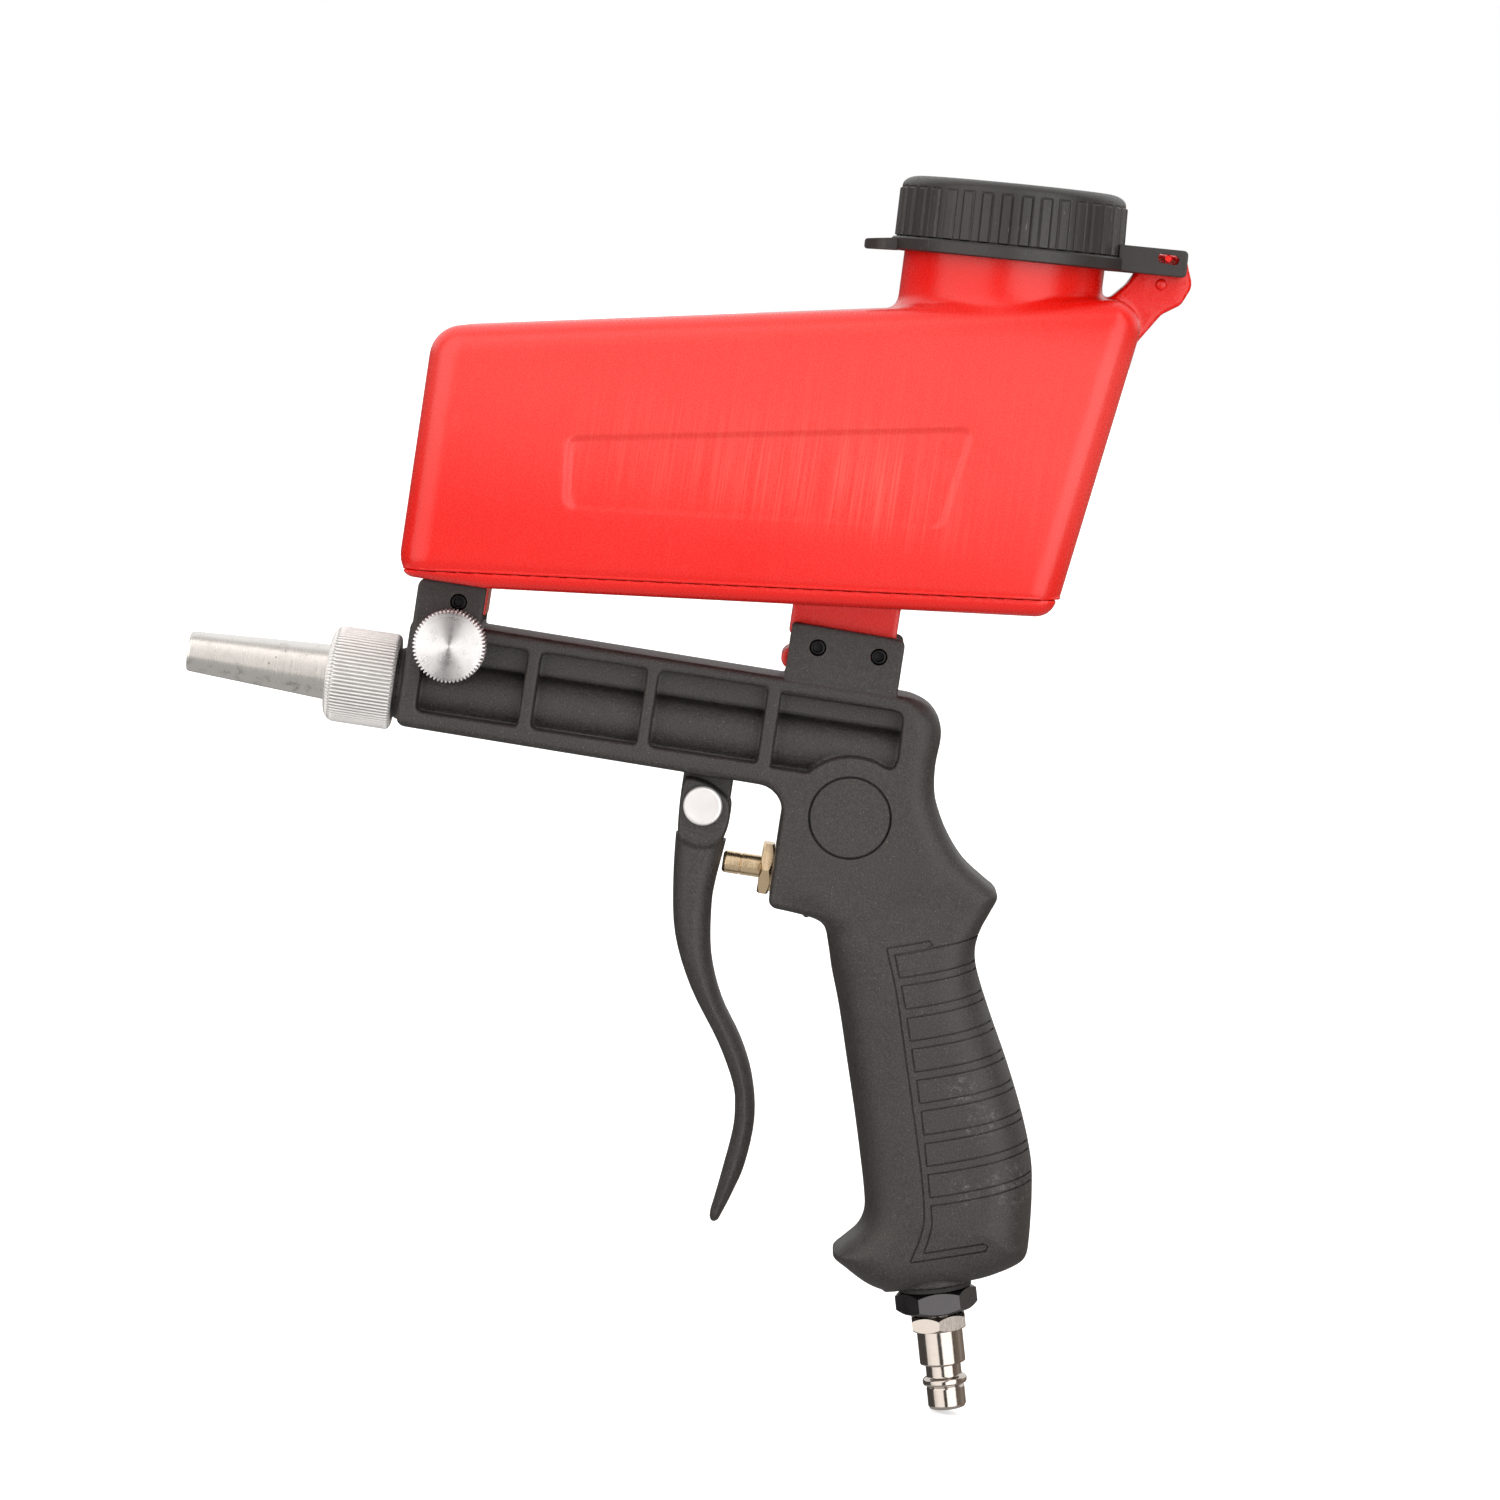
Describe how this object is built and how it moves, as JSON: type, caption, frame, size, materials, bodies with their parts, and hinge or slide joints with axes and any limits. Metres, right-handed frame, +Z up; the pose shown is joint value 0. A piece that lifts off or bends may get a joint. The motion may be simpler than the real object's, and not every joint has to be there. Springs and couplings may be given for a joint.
{
  "type": "gravity feed sand blaster gun",
  "caption": "Hand-held air blasting gun with a top grit hopper, flip lid, trigger valve, grit valve knob and screw-on nozzle.",
  "frame": {"origin": "middle of the hand grip", "axes": "+Z up along the tool as it is held level, -X towards the nozzle, +Y to the left of the person holding it"},
  "size_m": [0.2422, 0.062, 0.3203],
  "materials": {
    "body_paint": "matte black fine-textured powder coat on die-cast metal, lightly scuffed",
    "hopper_plastic": "satin red moulded polypropylene with faint vertical drag lines",
    "lid_plastic": "semi-matte black moulded plastic with vertical grip ribs",
    "aluminium": "bright turned aluminium with straight knurl",
    "nozzle_steel": "ground steel with faint dents",
    "nickel": "nickel plated, polished",
    "brass": "turned brass",
    "black_steel": "black oxide steel",
    "spring_steel": "plain steel",
    "rubber": "black nitrile rubber"
  },
  "bodies": {
    "gun": {"gun_body": "body_paint", "air_jet": "brass", "jet_o_ring": "rubber", "nozzle_washer": "rubber", "valve_gland_nut": "brass", "valve_seat": "brass", "valve_spring": "spring_steel", "trigger_pin": "aluminium", "trigger_pin_clip": "spring_steel", "hopper_shell": "hopper_plastic", "hopper_base": "hopper_plastic", "spout_gasket": "rubber", "front_set_screw": "black_steel", "rear_1_set_screw": "black_steel", "rear_2_set_screw": "black_steel", "inlet_bushing": "black_steel", "bushing_washer": "rubber", "air_plug": "nickel", "plug_washer": "rubber"},
    "trigger": {"trigger": "body_paint"},
    "plunger": {"valve_stem": "brass", "stem_o_ring": "rubber", "valve_disc": "rubber"},
    "flow_valve": {"flow_knob": "aluminium", "flow_spindle": "spring_steel", "spindle_o_ring_near": "rubber", "spindle_o_ring_far": "rubber", "spindle_clip": "spring_steel"},
    "nozzle": {"nozzle": "nozzle_steel"},
    "collar": {"nozzle_collar": "aluminium"},
    "lid": {"hopper_lid": "lid_plastic", "lid_seal": "rubber"}
  },
  "joints": [
    {"name": "trigger_pull", "type": "hinge", "parent": "gun", "child": "trigger", "pos_m": [-0.0729, 0, 0.0711], "axis": [0, -1, 0], "range_deg": [0, 15], "stiffness_Nm_per_rad": 0.3, "springref_deg": -2.86},
    {"name": "plunger_push", "type": "slide", "parent": "gun", "child": "plunger", "axis": [1, 0, 0], "range_m": [0, 0.0038], "stiffness_N_per_m": 900, "springref_m": -0.001, "deforming": ["valve_spring"]},
    {"name": "flow_turn", "type": "hinge", "parent": "gun", "child": "flow_valve", "pos_m": [-0.1432, 0, 0.1029], "axis": [0, -1, 0], "continuous": true},
    {"name": "nozzle_advance", "type": "slide", "parent": "gun", "child": "nozzle", "axis": [-1, 0, 0], "range_m": [0, 0.0045]},
    {"name": "collar_turn", "type": "hinge", "parent": "nozzle", "child": "collar", "pos_m": [-0.166, 0, 0.09], "axis": [-1, 0, 0], "range_deg": [0, 1080]},
    {"name": "lid_open", "type": "hinge", "parent": "gun", "child": "lid", "pos_m": [0.0239, 0, 0.2284], "axis": [0, 1, 0], "range_deg": [0, 115]}
  ],
  "couplings": [
    {"joint": "plunger_push", "follows": "trigger_pull", "m_per_rad": 0.0143},
    {"joint": "collar_turn", "follows": "nozzle_advance", "rad_per_m": 4188.7}
  ]
}
